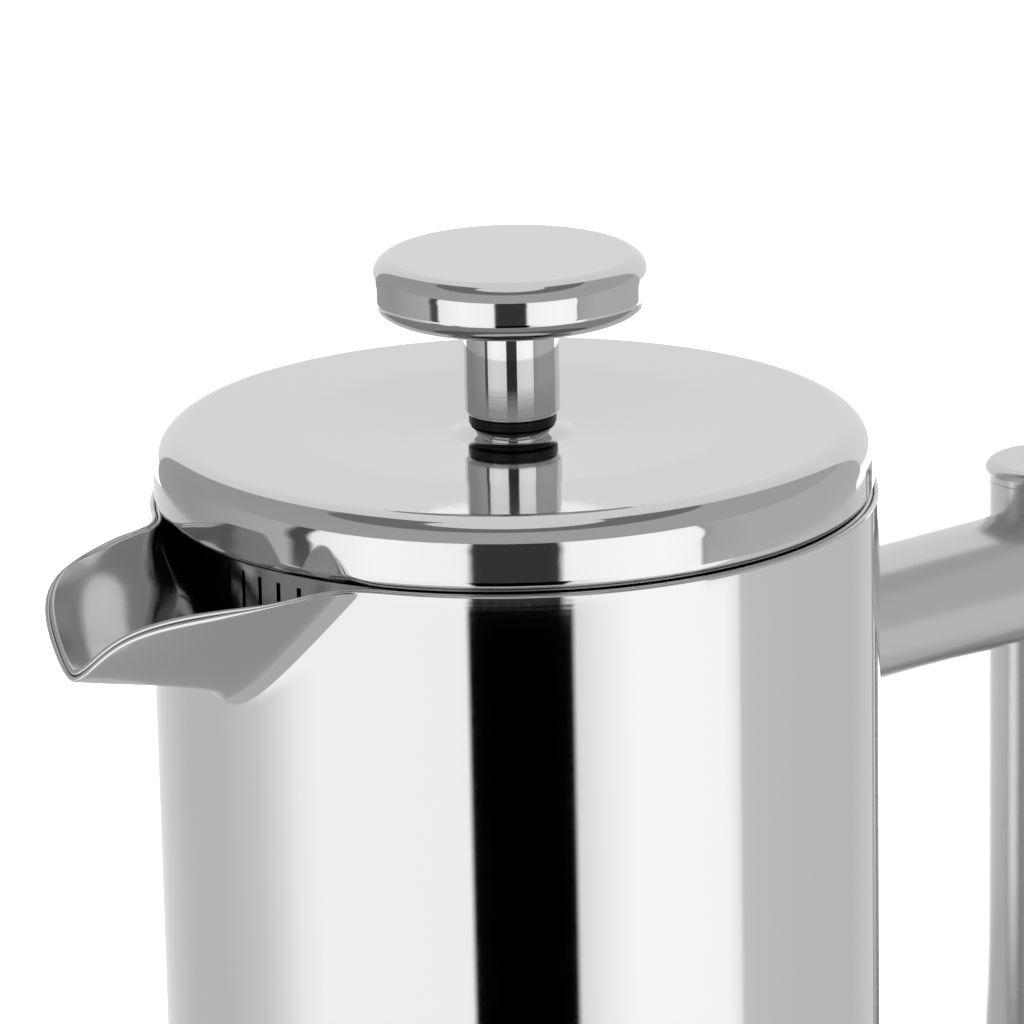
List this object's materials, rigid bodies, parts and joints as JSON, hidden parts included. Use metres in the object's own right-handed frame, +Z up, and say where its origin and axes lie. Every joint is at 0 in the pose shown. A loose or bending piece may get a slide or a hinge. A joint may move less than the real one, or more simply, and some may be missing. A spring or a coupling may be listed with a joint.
{
  "type": "french press",
  "caption": "Double-walled steel french press with a trough spout, tube handle, turning lid and a plunger with a mesh filter.",
  "frame": {"origin": "on the vessel's axis, at the underside of its base", "axes": "+Z up along the plunger's rod, +X towards the handle, -X towards the spout"},
  "size_m": [0.1863, 0.1, 0.1989],
  "materials": {
    "polished_steel": "mirror polished",
    "inner_steel": "fine brushed",
    "satin_steel": "satin",
    "wire_steel": "drawn wire",
    "black_plastic": "smooth"
  },
  "bodies": {
    "vessel": {"outer_shell": "polished_steel", "inner_shell": "inner_steel", "liner_base": "inner_steel", "base_cup": "inner_steel", "upper_arm": "satin_steel", "lower_arm": "satin_steel", "grip_tube": "satin_steel", "grip_top_cap": "satin_steel", "grip_bottom_cap": "satin_steel"},
    "carrier": {"bush_nut": "black_plastic"},
    "lid": {"lid_shell": "polished_steel", "lid_under_plate": "inner_steel", "lid_skirt": "inner_steel", "lid_bush": "black_plastic"},
    "plunger": {"knob_cap": "polished_steel", "knob_base": "inner_steel", "knob_insert": "inner_steel", "knob_sleeve": "polished_steel", "plunger_rod": "inner_steel", "rod_collar": "inner_steel"},
    "filter": {"spring_plate": "inner_steel", "edge_spring": "wire_steel", "mesh_screen": "wire_steel", "cross_plate": "inner_steel", "cross_hub": "inner_steel"}
  },
  "joints": [
    {"name": "lid_lift", "type": "slide", "parent": "vessel", "child": "carrier", "axis": [0, 0, 1], "range_m": [0, 0.162]},
    {"name": "lid_turn", "type": "hinge", "parent": "carrier", "child": "lid", "pos_m": [0, 0, 0.17], "axis": [0, 0, 1], "continuous": true},
    {"name": "plunge", "type": "slide", "parent": "lid", "child": "plunger", "axis": [0, 0, 1], "range_m": [0, 0.122]},
    {"name": "filter_turn", "type": "hinge", "parent": "plunger", "child": "filter", "pos_m": [0, 0, 0.014], "axis": [0, 0, 1], "continuous": true}
  ]
}
